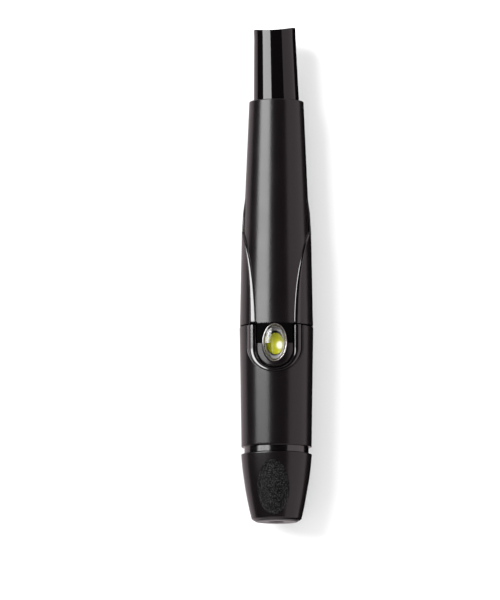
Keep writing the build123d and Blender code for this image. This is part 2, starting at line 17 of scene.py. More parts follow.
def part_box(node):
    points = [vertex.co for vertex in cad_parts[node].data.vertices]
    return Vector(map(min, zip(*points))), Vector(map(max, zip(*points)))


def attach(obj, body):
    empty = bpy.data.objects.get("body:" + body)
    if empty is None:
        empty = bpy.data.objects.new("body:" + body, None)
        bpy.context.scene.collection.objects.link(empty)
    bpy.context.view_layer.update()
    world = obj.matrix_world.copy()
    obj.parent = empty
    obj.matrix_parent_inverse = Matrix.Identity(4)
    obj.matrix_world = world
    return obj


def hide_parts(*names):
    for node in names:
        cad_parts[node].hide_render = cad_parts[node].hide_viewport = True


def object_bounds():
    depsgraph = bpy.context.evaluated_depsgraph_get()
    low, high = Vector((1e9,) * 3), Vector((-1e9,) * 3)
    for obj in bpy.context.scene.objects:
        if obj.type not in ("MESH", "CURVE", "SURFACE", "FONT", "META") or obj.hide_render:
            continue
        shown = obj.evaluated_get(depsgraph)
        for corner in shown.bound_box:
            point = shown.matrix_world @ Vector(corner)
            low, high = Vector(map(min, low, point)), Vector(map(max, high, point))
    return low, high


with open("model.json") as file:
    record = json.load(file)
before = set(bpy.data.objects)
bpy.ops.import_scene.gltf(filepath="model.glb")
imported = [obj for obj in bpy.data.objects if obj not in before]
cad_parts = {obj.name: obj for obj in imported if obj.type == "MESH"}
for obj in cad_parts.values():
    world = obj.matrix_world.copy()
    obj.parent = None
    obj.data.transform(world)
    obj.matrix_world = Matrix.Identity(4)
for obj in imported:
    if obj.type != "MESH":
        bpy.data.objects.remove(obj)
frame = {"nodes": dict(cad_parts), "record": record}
cad_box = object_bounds()
MM = 0.001

# Tolerances: touch for lengths, tiny for angles and shares
touch = 0.001
tiny = 1e-6

# Gaps: between pieces that fit, between the barrels' faces and at the shell's surface over the seam
end_gap = 0.1
face_gap = 0.15
edge_gap = 0.28

# Stations along the pen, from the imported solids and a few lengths
key_length = 3.1
neck_show = 1.45
mouth_length = 5.7
dial_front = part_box("depth_dial")[0].y / MM
dial_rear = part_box("depth_dial")[1].y / MM
collar_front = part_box("cap_collar")[0].y / MM + key_length
stub_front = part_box("front_barrel")[0].y / MM
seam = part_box("front_barrel")[1].y / MM
surround_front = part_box("button_surround")[0].y / MM
button_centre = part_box("button_surround")[1].y / MM
barrel_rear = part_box("rear_barrel")[1].y / MM
plunger_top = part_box("priming_button")[1].y / MM
chassis_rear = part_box("chassis_tube")[1].y / MM
neck_shoulder = dial_rear + end_gap
barrel_front = dial_rear + neck_show
rear_face = seam + face_gap
rear_start = seam + edge_gap
mouth_shoulder = barrel_rear - mouth_length

# Depth dial, whose rings are each a radius and a station
dial_rings = ((4.98, 0.6), (5.95, 5.0), (6.61, 9.1), (7.07, 13.5))
dial_round = 0.35
dial_round_drop = 0.3
dial_edge = 0.12
dial_edge_drop = 0.06
nose_end = 2.05
nose_hole_radius = 4.35
skirt_hole_radius = 4.8
dial_bore = 6.05
edge_round = 0.12
pad_count = 3
pad_width = 6.4
pad_length = 10.8
pad_station = 6.5
pad_turn = 3.5
pad_depth = 0.12
pad_steepness = 6
pad_grain = 0.07
setting_count = 11
setting_angle = 24.0
notch_radius = 0.26
notch_length = 2.0

# Contact ring
exit_radius = 1.5
ring_nose_radius = 4.25
ring_skirt_radius = 4.75
ring_bore = 3.55
ring_face = 1.2
ring_length = 8.2
ring_step = 2.9
ring_round = 0.22

# Front barrel, where a knee or a crest is a share of the bead's width and a height
barrel_front_radius = 7.01
barrel_seam_radius = 7.36
front_edge = 0.2
front_edge_drop = 0.02
neck_radius = 6.42
stub_radius = 5.5
neck_bore = 4.9
barrel_bore = 5.75
barrel_floor = 2.3
back_flat = 7.07
u_half_width = 3.72
cut_out_gap = 0.12
cut_out_clearance = 0.02
bead_width = 1.7
bead_tip_width = 0.95
bead_height = 0.26
bead_depth = 0.5
bead_knee = (0.1, -0.25)
bead_crest = 0.8
bead_tip_knee = (0.42, 0.14)
bead_tip_crest = 0.88
bead_reach = 1.25
crease_depth = 0.08
crease_place = 1.05
crease_width = 0.06

# Rear barrel, where a rise is a distance from the seam
rear_seam_radius = 7.2
waist_radius = 6.25
rear_end_radius = 5.44
wing_radii = (7.32, 6.94, 6.68, 6.13)
wing_rises = (0.0, 19.2, 23.2, 27.2)
wing_gap_top = 6.05
widest_gap = 0.985
ridge_rises = (0.15, 11.3, 19.2)
ridge_inner = (3.8, 4.7, 6.5)
ridge_width = 1.6
ridge_end_width = 0.25
ridge_height = 0.24
ridge_valley = 0.2
ridge_knee = (0.12, 0.09)
ridge_crest = 0.8
tongue_half_width = u_half_width - cut_out_gap
tongue_sink = 0.14
flange_bore = 4.97
mouth_radius = 4.62
mouth_edge = 0.45
mouth_round = 0.42
rear_bore_depth = 11
shell_wall = 1.3
shell_edge = 0.12
shell_edge_drop = 0.05
rebate_depth = 0.35

# Release button and the edges round it
button_width = 4.9
button_length = 7.6
button_gap = 0.1
lip_width = 0.12
lip_depth = 0.1
parting_width = 0.1
parting_depth = 0.12
hole_wall = 1.0
side_wall = 1.2
rim_width = 0.22
rim_top = 7.48
rim_round = 0.2
lens_gap = 0.02
lens_sink = 0.1
dome_height = 0.65
dome_wall = 0.28
dome_fullness = 0.75
frame_top = 5.75
# Centre and radius of the painted highlight on the yellow indicator, where the button's dome would gather the
# light
highlight_centre = (1.0, 35.0, 4.4)
highlight_radius = 1.1

# Plunger
plunger_radius = 4.54
plunger_top_radius = 4.18
plunger_lean = 0.36
plunger_slant = 0.4
plunger_scoop = 0.65
top_margin = 2
scoop_edge = 0.94
plunger_bore = 3.94
sleeve_socket_radius = 3.07
sleeve_socket_depth = 3.0
flange_radius = 4.92
flange_gap = 0.05
flange_length = 1.0
shaft_sink = 0.2
shaft_round = 0.1

# Rows and columns of the skins' grids
dial_columns = 420
dial_round_rows = 5
dial_row_step = 0.12
ring_columns = 160
bead_columns = 321
bead_rows = 44
sleeve_rows = 64
seam_columns = 200
neck_columns = 192
neck_rows = 6
wing_rows = 110
cone_rows = 24
tongue_rows = 12
mouth_columns = 208
mouth_steps = 6
patch_columns = 140
patch_rows = 12
oval_columns = 120
dome_steps = 17
rim_steps = 9
plunger_columns = 160
side_rows = 12
scoop_rows = 14


def soften(points, radius, steps=4):
    """A path of (radius, station) points with its inner corners rounded."""
    points = [np.array(point, float) for point in points]
    path = [points[0]]
    for before, corner, after in zip(points, points[1:], points[2:]):
        to_before = before - corner
        to_after = after - corner
        reach = min(radius, np.hypot(*to_before) / 2, np.hypot(*to_after) / 2)
        start = corner + to_before / np.hypot(*to_before) * reach
        end = corner + to_after / np.hypot(*to_after) * reach
        for share in np.linspace(0, 1, steps + 1):
            path.append((1 - share) ** 2 * start + 2 * share * (1 - share) * corner + share**2 * end)
    path.append(points[-1])
    return path


def on_pen(radius, angle, station):
    """Points at a distance from the pen's axis, where angle 0 faces the release button."""
    radius, angle, station = np.broadcast_arrays(radius, angle, station)
    return np.stack((radius * np.sin(angle), station, radius * np.cos(angle)), axis=-1)


def round_angles(count):
    """Angles evenly round the pen."""
    return np.linspace(-math.pi, math.pi, count, endpoint=False)


def turned(path, count):
    """Rows of points of a path turned about the pen's axis."""
    path = np.array(path)
    return on_pen(path[:, :1], round_angles(count)[None, :], path[:, 1:])


def over(x, y, radius):
    """Points of the pen's upper side, given in plan and by their distance from its axis."""
    x, y, radius = np.broadcast_arrays(x, y, radius)
    return np.stack((x, y, np.sqrt(np.maximum(radius**2 - x**2, 0))), axis=-1)


def flattened(radius, angle):
    """A radius cut back to the flat along the pen's underside. The floor of 0.5 spares the other sides."""
    return np.minimum(radius, back_flat / np.maximum(-np.cos(angle), 0.5))


def smooth_step(value):
    """A soft change from 0 to 1 as the value goes from 0 to 1."""
    value = np.clip(value, 0, 1)
    return value * value * (3 - 2 * value)


class Skin:
    """Gathers grids of points into one mesh."""

    def __init__(self):
        self.points = []
        self.quads = []
        self.total = 0

    def grid(self, rows, around=True, loop=False, keep=None):
        """Adds quads between neighbouring rows and columns. keep says which of them to make."""
        rows = np.asarray(rows, float)
        high, wide = rows.shape[:2]
        index = np.arange(high * wide).reshape(high, wide) + self.total
        if around:
            index = np.concatenate((index, index[:, :1]), axis=1)
        if loop:
            index = np.concatenate((index, index[:1]), axis=0)
        quads = np.stack((index[:-1, :-1], index[:-1, 1:], index[1:, 1:], index[1:, :-1]), axis=-1)
        if keep is not None:
            quads = quads[keep]
        self.points.append(rows.reshape(-1, 3))
        self.quads.append(quads.reshape(-1, 4))
        self.total += high * wide

    def piece(self, name, body, material, slot, *nodes, crease=40):
        """The mesh as a piece of the scene, on its body and in place of its solids."""
        mesh = bpy.data.meshes.new(name)
        points = np.concatenate(self.points) * MM
        mesh.from_pydata(points.tolist(), [], np.concatenate(self.quads).tolist())
        work = bmesh.new()
        work.from_mesh(mesh)
        bmesh.ops.remove_doubles(work, verts=work.verts, dist=2 * touch * MM)
        loose = [vertex for vertex in work.verts if not vertex.link_faces]
        bmesh.ops.delete(work, geom=loose, context="VERTS")
        bmesh.ops.recalc_face_normals(work, faces=work.faces)
        work.to_mesh(mesh)
        work.free()
        mesh.shade_smooth()
        mesh.set_sharp_from_angle(angle=math.radians(crease))
        mesh.materials.append(material)
        thing = bpy.data.objects.new(name, mesh)
        bpy.context.scene.collection.objects.link(thing)
        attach(thing, body)
        if nodes:
            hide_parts(*nodes)
        return thing


# Materials
sheen_size = 6


def surface(name, colour, roughness, metallic=0.0, ior=1.5):
    """A material with its shader's plain values set."""
    material = bpy.data.materials.new(name)
    material.use_nodes = True
    shader = material.node_tree.nodes["Principled BSDF"]
    shader.inputs["Base Color"].default_value = (*colour, 1)
    shader.inputs["Roughness"].default_value = roughness
    shader.inputs["Metallic"].default_value = metallic
    shader.inputs["IOR"].default_value = ior
    return material, shader


def noise_in(tree, size, detail):
    """A noise over the piece, of the given size in millimetres."""
    place = tree.nodes.new("ShaderNodeTexCoord")
    noise = tree.nodes.new("ShaderNodeTexNoise")
    noise.inputs["Scale"].default_value = 1 / (size * MM)
    noise.inputs["Detail"].default_value = detail
    tree.links.new(place.outputs["Object"], noise.inputs["Vector"])
    return noise.outputs["Fac"]


def grain(material, shader, size, depth):
    """A fine bump of the given size and depth in millimetres."""
    tree = material.node_tree
    bump = tree.nodes.new("ShaderNodeBump")
    bump.inputs["Strength"].default_value = 1.0
    bump.inputs["Distance"].default_value = depth * MM
    tree.links.new(noise_in(tree, size, detail=2.0), bump.inputs["Height"])
    tree.links.new(bump.outputs["Normal"], shader.inputs["Normal"])


def varied(material, shader, socket, low, high, size, start=0.3, end=0.7):
    """Changes of one value of the shader over the surface, between two levels of the noise."""
    tree = material.node_tree
    spread = tree.nodes.new("ShaderNodeMapRange")
    spread.inputs["From Min"].default_value = start
    spread.inputs["From Max"].default_value = end
    spread.inputs["To Min"].default_value = low
    spread.inputs["To Max"].default_value = high
    tree.links.new(noise_in(tree, size, detail=4.0), spread.inputs["Value"])
    tree.links.new(spread.outputs["Result"], shader.inputs[socket])


def painted_highlight(material, shader, colour, pale):
    """A painted highlight: a soft, pale spot in the base colour that stands in for the light which the lens
    above gathers.

    It is full within a third of its radius.
    """
    tree = material.node_tree
    place = tree.nodes.new("ShaderNodeTexCoord")
    reach = tree.nodes.new("ShaderNodeVectorMath")
    reach.operation = "DISTANCE"
    reach.inputs[1].default_value = Vector(highlight_centre) * MM
    share = tree.nodes.new("ShaderNodeMapRange")
    share.interpolation_type = "SMOOTHSTEP"
    share.inputs["From Min"].default_value = highlight_radius * MM
    share.inputs["From Max"].default_value = highlight_radius * MM / 3
    blend = tree.nodes.new("ShaderNodeMix")
    blend.data_type = "RGBA"
    blend.inputs["A"].default_value = (*colour, 1)
    blend.inputs["B"].default_value = (*pale, 1)
    tree.links.new(place.outputs["Object"], reach.inputs[0])
    tree.links.new(reach.outputs["Value"], share.inputs["Value"])
    tree.links.new(share.outputs["Result"], blend.inputs["Factor"])
    tree.links.new(blend.outputs["Result"], shader.inputs["Base Color"])


def plastic(name, colour, roughness, spread, size, depth, **more):
    """A material with a grain, and with a roughness that varies by a spread from patch to patch."""
    material, shader = surface(name, colour, roughness, **more)
    grain(material, shader, size, depth)
    varied(material, shader, "Roughness", roughness - spread, roughness + spread, size=sheen_size)
    return material


shell_black = (0.0042, 0.003, 0.0034)
deep_black = (0.002, 0.0016, 0.0018)
mark_yellow = (0.5, 0.5, 0.005)
# Pale colour of the painted highlight on the indicator
highlight_pale = (1.0, 1.0, 0.8)

satin_black = plastic("satin_black", shell_black, roughness=0.25, spread=0.02, size=0.32, depth=0.007)
gloss_black = plastic("gloss_black", deep_black, roughness=0.08, spread=0.02, size=1.2, depth=0.003)
polished_black = plastic(
    "polished_black", deep_black, roughness=0.16, spread=0.02, size=1.2, depth=0.003, ior=1.8
)
# Painted shade: a dull, almost unreflecting near-black for the faces in the gap at the seam. It is darker than
# the barrels' own plastic, so the gap reads as shaded.
seam_painted_shade = plastic(
    "seam_painted_shade", (0.001, 0.001, 0.001), roughness=0.8, spread=0.05, size=0.3, depth=0.004, ior=1.1
)
smoky_grey = plastic("smoky_grey", (0.17, 0.165, 0.17), roughness=0.3, spread=0.03, size=0.4, depth=0.004)
pad_black, pad_shader = surface("pad_black", shell_black, roughness=0.5)
pad_shader.inputs["Specular IOR Level"].default_value = 0.1
varied(pad_black, pad_shader, "Base Color", low=0.0, high=0.045, size=0.2, start=0.48)
tip_grey = plastic("tip_grey", (0.055, 0.053, 0.055), roughness=0.38, spread=0.04, size=0.2, depth=0.005)
rotor_black = plastic("rotor_black", (0.014, 0.014, 0.016), roughness=0.3, spread=0.04, size=0.3, depth=0.005)
inner_plastic = plastic("inner_plastic", (0.32, 0.33, 0.34), roughness=0.34, spread=0.04, size=0.3, depth=0.005)
indicator_yellow, yellow_shader = surface("indicator_yellow", mark_yellow, roughness=0.25)
# The indicator's base colour holds a painted highlight where the dome above would gather the light
painted_highlight(indicator_yellow, yellow_shader, mark_yellow, highlight_pale)
bright_rim = plastic(
    "bright_rim", (0.62, 0.61, 0.61), roughness=0.14, spread=0.03, size=0.5, depth=0.002, metallic=1.0
)
spring_steel = plastic(
    "spring_steel", (0.55, 0.55, 0.56), roughness=0.28, spread=0.06, size=0.15, depth=0.003, metallic=1.0
)
clear_plastic, clear_shader = surface("clear_plastic", (0.95, 0.95, 0.95), roughness=0.04, ior=1.49)
clear_shader.inputs["Transmission Weight"].default_value = 1.0

finishes = {
    "satin_black": satin_black,
    "gloss_black": gloss_black,
    "tip_grey": tip_grey,
    "rotor_black": rotor_black,
    "inner_plastic": inner_plastic,
    "indicator_yellow": indicator_yellow,
    "bright_rim": bright_rim,
    "spring_steel": spring_steel,
    "clear_plastic": clear_plastic,
}
for subpart in frame["record"]["subparts"]:
    node = frame["nodes"][subpart["node"]]
    node.data.materials.clear()
    node.data.materials.append(finishes[subpart["material_slot"]])
frame["nodes"]["button_frame"].data.materials[0] = smoky_grey
frame["nodes"]["chassis_tube"].data.materials[0] = rotor_black

# Places of the further materials in a skin's list
pad_slot = 1
polished_slot = 1
# Slot of the painted shade on the faces at the seam
seam_shade_slot = 2


# Depth dial: a convex cone with rough oval pads
def dial_radius(station):
    """Radius of the dial's side, rounded at its front."""
    radii, stations = zip(*dial_rings)
    side = np.polyval(np.polyfit(stations, radii, len(dial_rings) - 1), station)
    return side - dial_round_drop * smooth_step((dial_front + dial_round - station) / dial_round)


dial_last_rows = np.array((0.1, 0.03))
dial_angles = round_angles(dial_columns)
dial_stations = np.concatenate(
    (
        np.linspace(dial_front, dial_front + dial_round, dial_round_rows),
        np.arange(dial_front + dial_round + dial_last_rows[0], dial_rear - dial_last_rows[0], dial_row_step),
        dial_rear - dial_last_rows,
    )
)
angles, stations = np.meshgrid(dial_angles, dial_stations)
radii = dial_radius(stations) - dial_edge_drop * smooth_step((stations - dial_rear + dial_edge) / dial_edge)
grain_seed = 5
grain_span = 2
random = np.random.default_rng(grain_seed)
grains = random.uniform(-0.5, 0.5, (len(dial_stations) // grain_span + 1, dial_columns // grain_span))
grains = grains.repeat(grain_span, 0).repeat(grain_span, 1)[:len(dial_stations)]


def pad_share(angles, stations):
    """How far points of the dial lie inside its nearest pad: 0 at the edge and 1 at the middle."""
    pitch = 2 * math.pi / pad_count
    away = (angles + math.radians(pad_turn) + pitch / 2) % pitch - pitch / 2
    across = dial_radius(stations) * np.sin(away) / (pad_width / 2)
    along = (stations - pad_station) / (pad_length / 2)
    return 1 - np.hypot(across, along)


inside = smooth_step(pad_share(angles, stations) * pad_steepness)
outer_rows = on_pen(radii - inside * (pad_depth - pad_grain * grains), angles, stations)

bore_path = soften(
    [
        (dial_radius(dial_rear) - dial_edge_drop, dial_rear),
        (dial_bore, dial_rear),
        (dial_bore, collar_front - end_gap),
        (skirt_hole_radius, collar_front - end_gap),
        (skirt_hole_radius, nose_end),
        (nose_hole_radius, nose_end),
        (nose_hole_radius, dial_front),
    ],
    edge_round,
)
bore_rows = turned(bore_path, dial_columns)
for row, (radius, station) in enumerate(bore_path):
    if radius < dial_bore + end_gap / 2 and station > dial_rear - notch_length:
        for setting in range(setting_count):
            turn = math.radians((setting - setting_count // 2) * setting_angle)
            off = radius * (dial_angles - turn)
            depth = np.sqrt(np.maximum(notch_radius**2 - off**2, 0))
            bore_rows[row] += on_pen(depth, dial_angles, 0)
dial_skin = Skin()
dial_skin.grid(np.concatenate((outer_rows, bore_rows)), loop=True)
dial = dial_skin.piece("depth_dial_skin", "dial", satin_black, "satin_black", "depth_dial", crease=60)
dial.data.materials.append(pad_black)
for face in dial.data.polygons:
    x, y, z = face.center / MM
    if pad_share(math.atan2(x, z), y) > 0 and math.hypot(x, z) > dial_radius(y) - 2 * pad_depth:
        face.material_index = pad_slot

# Contact ring: rounded nose, face with the exit hole, plain skirt
ring_path = soften(
    [
        (ring_bore, ring_length),
        (ring_skirt_radius, ring_length),
        (ring_skirt_radius, ring_step),
        (ring_nose_radius, ring_step),
        (ring_nose_radius, 0),
        (exit_radius, 0),
        (exit_radius, ring_face),
        (ring_bore, ring_face),
        (ring_bore, ring_length),
    ],
    ring_round,
)
ring_skin = Skin()
ring_skin.grid(turned(ring_path, ring_columns))
ring_skin.piece("contact_ring_skin", "tip", tip_grey, "tip_grey", "contact_ring", crease=50)


# Front barrel: the sleeve's skin runs outwards from the U-shaped cut-out
def front_radius(station):
    """Radius of the sleeve's cone."""
    share = (station - barrel_front) / (seam - barrel_front)
    return barrel_front_radius + share * (barrel_seam_radius - barrel_front_radius)


def front_skin_radius(station):
    """Radius of the sleeve's skin, a little less at its rear edge."""
    return front_radius(station) - shell_edge_drop * smooth_step((station - seam + shell_edge) / shell_edge)


# Station where the cut-out's straight sides meet its round end
cut_out_corner = surround_front - cut_out_gap + u_half_width


def u_outline(count):
    """Points of the cut-out's edge in plan, from its left end round to its right, with their outward ways."""
    straight = seam - cut_out_corner
    arc = math.pi * u_half_width
    points = []
    ways = []
    for run in np.linspace(0, 2 * straight + arc, count):
        if run < straight:
            points.append((-u_half_width, seam - run))
            ways.append((-1, 0))
        elif run <= straight + arc:
            turn = math.pi + (run - straight) / u_half_width
            points.append((u_half_width * math.cos(turn), cut_out_corner + u_half_width * math.sin(turn)))
            ways.append((math.cos(turn), math.sin(turn)))
        else:
            points.append((u_half_width, cut_out_corner + run - straight - arc))
            ways.append((1, 0))
    return np.array(points), np.array(ways)


def bead_profile(share, foot, knee, crest, rim=0):
    """Height at a share of a bead's width.

    It rises steeply from its foot to its knee, rounds off to its crest and falls to its rim. The foot and rim
    are heights, and the knee and crest are each a share and a height.
    """
    steep = foot + (knee[1] - foot) * share / knee[0]
    away = np.clip((crest[0] - share) / (crest[0] - knee[0]), 0, 1)
    bend = crest[1] - (crest[1] - knee[1]) * away**2
    fall = smooth_step((share - crest[0]) / (1 - crest[0]))
    return np.where(share < knee[0], steep, bend + (rim - crest[1]) * fall)


def bead_way(x, y):
    """How far a point in plan lies outside the cut-out, and the bead's width there."""
    below = min(y - cut_out_corner, 0)
    reach = max(math.hypot(x, below), touch)
    return reach - u_half_width, bead_tip_width + (bead_width - bead_tip_width) * (1 + below / reach)


edge, way = u_outline(bead_columns)
width = bead_tip_width + (bead_width - bead_tip_width) * (1 + way[:, 1])
knee = [side - (tip - side) * way[:, 1] for side, tip in zip(bead_knee, bead_tip_knee)]
crest = (bead_crest - (bead_tip_crest - bead_crest) * way[:, 1], bead_height)
rows = []
for share in np.linspace(0, bead_reach, bead_rows):
    plan = edge + way * (share * width)[:, None]
    crease = crease_depth * math.exp(-(((share - crease_place) / crease_width) ** 2))
    height = bead_profile(share, -bead_depth, knee, crest) - crease
    rows.append(over(plan[:, 0], plan[:, 1], front_skin_radius(plan[:, 1]) + height))

# The rest of the skin spreads from the bead to the sleeve's front edge and round to its back
last = edge + way * (bead_reach * width)[:, None]
last_angle = np.arcsin(last[:, 0] / front_radius(last[:, 1]))
skin_front = barrel_front + front_edge
side_share = 0.3
column_shares = np.linspace(0, 1, bead_columns)
frame_shares = (0, side_share, 1 - side_share, 1)
frame_angle = np.interp(column_shares, frame_shares, (-math.pi, -math.pi, math.pi, math.pi))
frame_station = np.interp(column_shares, frame_shares, (seam, skin_front, skin_front, seam))
for share in np.linspace(0, 1, sleeve_rows)[1:]:
    angle = last_angle + share * (frame_angle - last_angle)
    station = last[:, 1] + share * (frame_station - last[:, 1])
    rows.append(on_pen(flattened(front_skin_radius(station), angle), angle, station))
wall = over(edge[:, 0], edge[:, 1], front_radius(edge[:, 1]) - shell_wall)
front_skin = Skin()
front_skin.grid(np.concatenate(([wall], rows)), around=False)


def outside_cut_out(radius, station):
    """A row round the pen that leaves out the cut-out."""
    start = math.asin((u_half_width + cut_out_clearance) / radius)
    angle = np.linspace(start, 2 * math.pi - start, seam_columns)
    return on_pen(flattened(radius, angle), angle, station)


front_skin.grid(
    [
        outside_cut_out(barrel_bore, barrel_front + barrel_floor),
        outside_cut_out(barrel_bore, seam),
        outside_cut_out(barrel_seam_radius - shell_edge_drop, seam),
    ],
    around=False,
)
neck_path = soften(
    [
        (front_radius(skin_front), skin_front),
        (barrel_front_radius - front_edge_drop, barrel_front),
        *((neck_radius, station) for station in np.linspace(barrel_front, neck_shoulder, neck_rows)),
        (stub_radius, neck_shoulder),
        (stub_radius, stub_front),
        (neck_bore, stub_front),
        (neck_bore, barrel_front + barrel_floor),
        (barrel_bore, barrel_front + barrel_floor),
    ],
    edge_round,
)
front_skin.grid(turned(neck_path, neck_columns))
front = front_skin.piece("front_barrel_skin", "ejector", satin_black, "satin_black", "front_barrel", crease=50)
front.data.materials.append(polished_black)
front.data.materials.append(seam_painted_shade)
for face in front.data.polygons:
    x, y, z = face.center / MM
    out, bead = bead_way(x, y)
    on_bead = z > 0 and 0 < out < bead
    on_neck = y < barrel_front and math.hypot(x, z) < neck_radius + end_gap
    # Faces in the gap at the seam take the painted shade
    if y > seam - touch:
        face.material_index = seam_shade_slot
    elif on_bead or on_neck:
        face.material_index = polished_slot

# Rear barrel: a cone with two raised wings, whose edges are ridges
wing_stations = seam + np.array(wing_rises)
ridge_stations = seam + np.array(ridge_rises)
ridge_fit = np.polyfit(ridge_stations, ridge_inner, len(ridge_inner) - 1)


def rear_radius(station):
    """Radius of the rear barrel's cone under its wings."""
    return np.interp(
        station, (rear_start, wing_stations[-1], barrel_rear), (rear_seam_radius, waist_radius, rear_end_radius)
    )


def ridge_taper(station):
    """1 where the wings' ridges are full and 0 where they have run out."""
    return float(smooth_step((ridge_stations[-1] - station) / (ridge_rises[-1] - ridge_rises[0])))


def wing_gap(station):
    """Half the width between the wings' inner edges."""
    if station < ridge_stations[-1]:
        return float(np.polyval(ridge_fit, station))
    return float(
        np.interp(station, (ridge_stations[-1], wing_stations[-1]), (ridge_inner[-1], wing_gap_top))
    )


def ridge_angles(station):
    """Angle of a wing's inner edge and the angle that its ridge spans."""
    cone = float(rear_radius(station))
    inner_angle = math.asin(min(wing_gap(station) / cone, widest_gap))
    return inner_angle, (ridge_end_width + (ridge_width - ridge_end_width) * ridge_taper(station)) / cone


# Columns over half of the tongue, from there to a wing, over its ridge and round to the back
splits = (22, 12, 34, 56)
tongue_angle = math.asin(tongue_half_width / rear_seam_radius)
wings_from = rear_start + 0.4
wings_to = wing_stations[-1] + 1
cone_from = wing_stations[-1] + 1.6
shell_stations = np.concatenate(
    (
        rear_start + np.array((0, shell_edge / 3, shell_edge)),
        np.linspace(wings_from, wings_to, wing_rows),
        np.linspace(cone_from, barrel_rear - mouth_edge, cone_rows),
    )
)


def shell_row(station):
    """A row of the shell round the pen."""
    cone = float(rear_radius(station))
    wing = float(np.interp(station, wing_stations, wing_radii, right=0))
    taper = ridge_taper(station)
    inner_angle, band_angle = ridge_angles(station)
    breaks = (0, tongue_angle, inner_angle, inner_angle + band_angle, math.pi)
    runs = [np.linspace(a, b, count, endpoint=False) for a, b, count in zip(breaks, breaks[1:], splits)]
    half = np.concatenate(runs + [[math.pi]])
    past = np.clip((half - inner_angle) / band_angle, 0, 1)
    rise = max(wing - cone, 0)
    knee = (ridge_knee[0], rise / 2 + (ridge_knee[1] - rise / 2) * taper)
    crest = (ridge_crest, rise + ridge_height * taper)
    ridge = bead_profile(past, -ridge_valley * taper, knee, crest, rise)
    radius = cone + np.where(half > inner_angle + tiny, ridge, 0)
    radius = radius - shell_edge_drop * float(smooth_step((rear_start + shell_edge - station) / shell_edge))
    radius = flattened(radius, half)
    whole = np.concatenate((-half[:0:-1], half))
    whole_radius = np.concatenate((radius[:0:-1], radius))
    return on_pen(whole_radius, whole, station)


shell_rows = np.array([shell_row(station) for station in shell_stations])
tongue_top = shell_stations[tongue_rows]
middle = (shell_rows.shape[1] - 1) // 2
left_edge = middle - splits[0]
right_edge = middle + splits[0]
keep = np.ones((len(shell_rows) - 1, shell_rows.shape[1] - 1), bool)
keep[:tongue_rows, left_edge:right_edge] = False
rear_skin = Skin()
rear_skin.grid(shell_rows, around=False, keep=keep)
end_path = soften(
    [
        (float(rear_radius(barrel_rear - mouth_edge)), barrel_rear - mouth_edge),
        (rear_end_radius, barrel_rear),
        (mouth_radius, barrel_rear),
        (mouth_radius, mouth_shoulder),
        (flange_bore, mouth_shoulder),
        (flange_bore, chassis_rear),
    ],
    mouth_round,
    mouth_steps,
)
rear_skin.grid(turned(end_path, mouth_columns))

# The face at the seam, set back by the rebate, and the bore behind it
face_rim = np.concatenate((shell_rows[0, right_edge:], shell_rows[0, 1:left_edge + 1]))
face_angles = np.arctan2(face_rim[:, 0], face_rim[:, 2])
rebate_radius = np.hypot(face_rim[:, 0], face_rim[:, 2]) - rebate_depth
rear_skin.grid(
    [
        face_rim,
        on_pen(rebate_radius, face_angles, rear_start),
        on_pen(rebate_radius, face_angles, rear_face),
        on_pen(barrel_bore, face_angles, rear_face),
        on_pen(barrel_bore, face_angles, rear_start + rear_bore_depth),
    ],
    around=False,
)

# Tongue and button surround: patches that run outwards from the button's oval hole
hole_half_width = button_width / 2 + button_gap
hole_half_length = button_length / 2 + button_gap


def tongue_radius(station):
    """Radius of the tongue and the surround."""
    return np.interp(
        station,
        (barrel_front, seam, rear_start, wing_stations[-1]),
        (barrel_front_radius - tongue_sink, barrel_seam_radius - tongue_sink, rear_seam_radius, waist_radius),
    )


def lip(distance, width=lip_width, depth=lip_depth):
    """How far an edge is rounded down at a distance from it."""
    return depth * (1 - smooth_step(distance / width))


edge_shares = np.array((0, 0.02, 0.05, 0.1))
inner_share = 0.16
patch_shares = np.concatenate(
    (edge_shares, np.linspace(inner_share, 1 - inner_share, patch_rows), 1 - edge_shares[::-1])
)


def patch(skin, turns, reach):
    """Adds the surface between the button's hole and an outer outline, given as a reach for each turn."""
    hole = 1 / np.hypot(np.cos(turns) / hole_half_width, np.sin(turns) / hole_half_length)
    grid = []
    for share in patch_shares:
        span = hole + share * (reach - hole)
        x = span * np.cos(turns)
        y = button_centre + span * np.sin(turns)
        radius = tongue_radius(y) - lip(span - hole) - lip(reach - span) * (y < rear_start)
        radius = radius - lip(np.abs(y - button_centre), parting_width, parting_depth)
        grid.append(over(x, y, radius))
    inner = grid[0] - np.array((0, 0, hole_wall))
    outer = grid[-1] - np.array((0, 0, side_wall))
    skin.grid(np.concatenate(([inner], grid, [outer])), around=False)


def side_reach(turns):
    """Distance from the button's centre to the tongue's straight sides."""
    return tongue_half_width / np.maximum(np.abs(np.cos(turns)), tiny)


def u_reach(turns):
    """Distance from the button's centre to the surround's U-shaped outline."""
    corner = surround_front + tongue_half_width - button_centre
    side = side_reach(turns)
    on_arc = side * np.sin(turns) < corner
    down = corner * np.sin(turns)
    arc = down + np.sqrt(np.maximum(down**2 - corner**2 + tongue_half_width**2, 0))
    return np.where(on_arc, arc, side)


